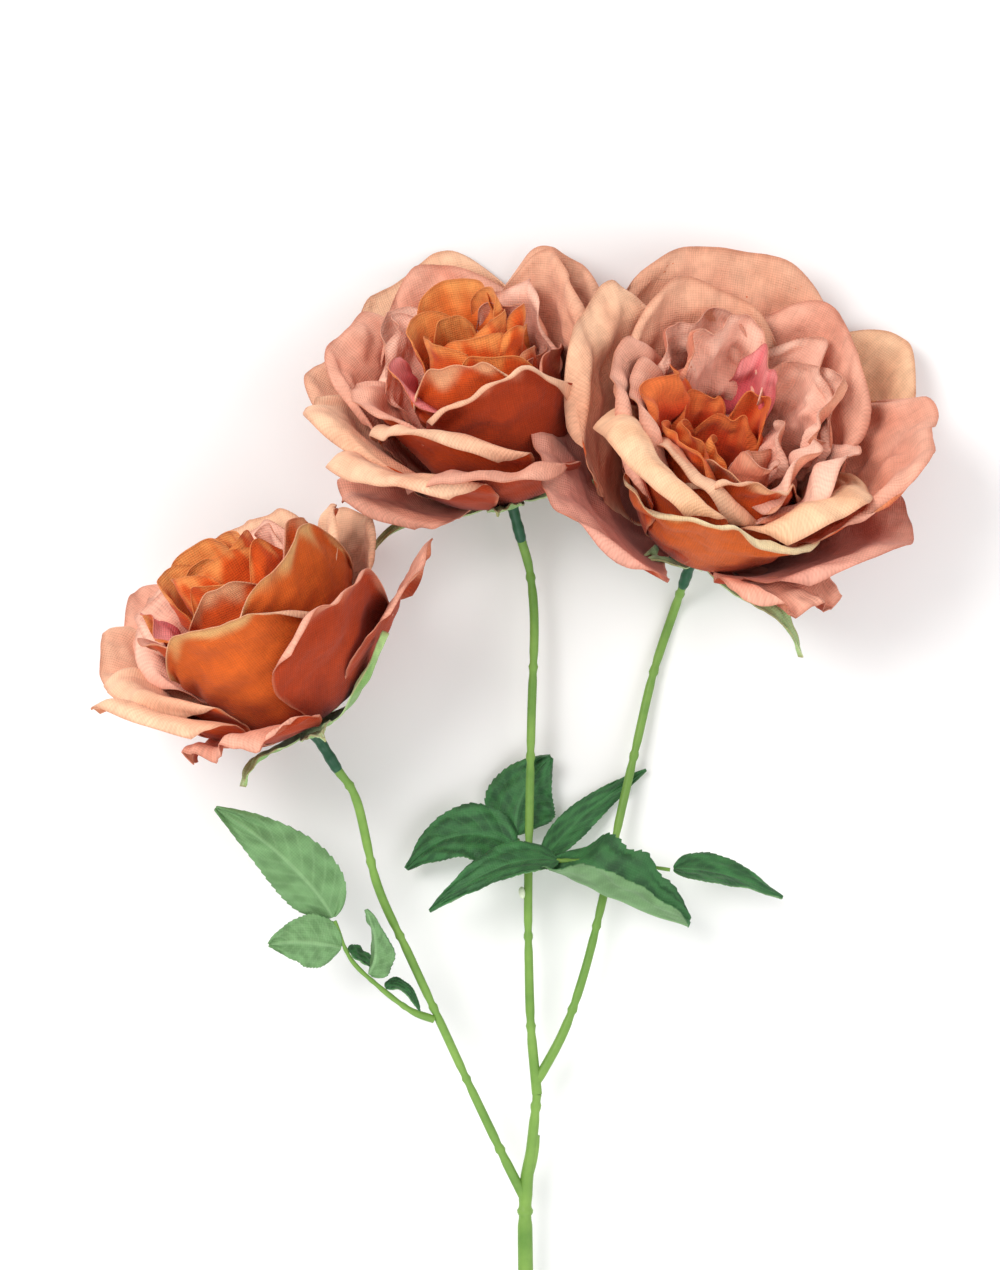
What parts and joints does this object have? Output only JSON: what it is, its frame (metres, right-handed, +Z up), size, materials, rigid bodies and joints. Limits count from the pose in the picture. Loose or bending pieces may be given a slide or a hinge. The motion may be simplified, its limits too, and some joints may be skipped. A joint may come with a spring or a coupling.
{
  "type": "faux rose spray",
  "caption": "Cut spray of full, open faux roses on a forked stem with compound leaves, lying on a table.",
  "frame": {"origin": "on the table, under the middle of the whole spray's box", "axes": "+Y from the cut end of the stem towards the blooms, +X to the right of the blooms, +Z up from the table"},
  "size_m": [0.2482, 0.4216, 0.0889],
  "materials": {
    "outer_petal": "matte woven polyester, printed rust outside and peach inside",
    "middle_petal": "matte woven polyester, ruffled, peach and orange",
    "heart_petal": "matte woven polyester, deep orange with red depths",
    "sepal": "matte green cloth",
    "leaf": "satin dark green coated cloth, paler beneath",
    "pale_leaf": "matte pale green underside turned outwards",
    "stem": "moulded yellow-green polyethylene with small knots",
    "neck": "dark green moulded sleeve",
    "peg": "unpainted pale core"
  },
  "bodies": {
    "root": {"right_guard_petals": "outer_petal", "right_second_petals": "outer_petal", "right_third_petals": "middle_petal", "right_inner_petals": "middle_petal", "right_heart_petals": "heart_petal", "right_calyx": "sepal", "right_peg": "peg", "right_neck": "neck", "centre_guard_petals": "outer_petal", "centre_second_petals": "outer_petal", "centre_third_petals": "middle_petal", "centre_inner_petals": "middle_petal", "centre_heart_petals": "heart_petal", "centre_calyx": "sepal", "centre_peg": "peg", "centre_neck": "neck", "left_guard_petals": "outer_petal", "left_second_petals": "outer_petal", "left_third_petals": "middle_petal", "left_inner_petals": "middle_petal", "left_heart_petals": "heart_petal", "left_calyx": "sepal", "left_peg": "peg", "left_neck": "neck", "main_stem": "stem", "centre_branch": "stem", "right_branch": "stem", "left_branch": "stem", "left_leaf_stalk": "stem", "right_leaf_stalk": "stem", "back_leaf_stalk": "stem", "left_leaflet_upper_inner": "leaf", "left_leaflet_lower_inner": "leaf", "right_leaflet_end": "leaf", "right_leaflet_front": "leaf", "right_leaflet_back": "leaf", "right_leaflet_crossing": "leaf", "back_leaflet_upper": "leaf", "back_leaflet_outer": "leaf", "left_leaflet_end": "pale_leaf", "left_leaflet_upper_outer": "pale_leaf", "left_leaflet_lower_outer": "pale_leaf"}
  },
  "joints": []
}
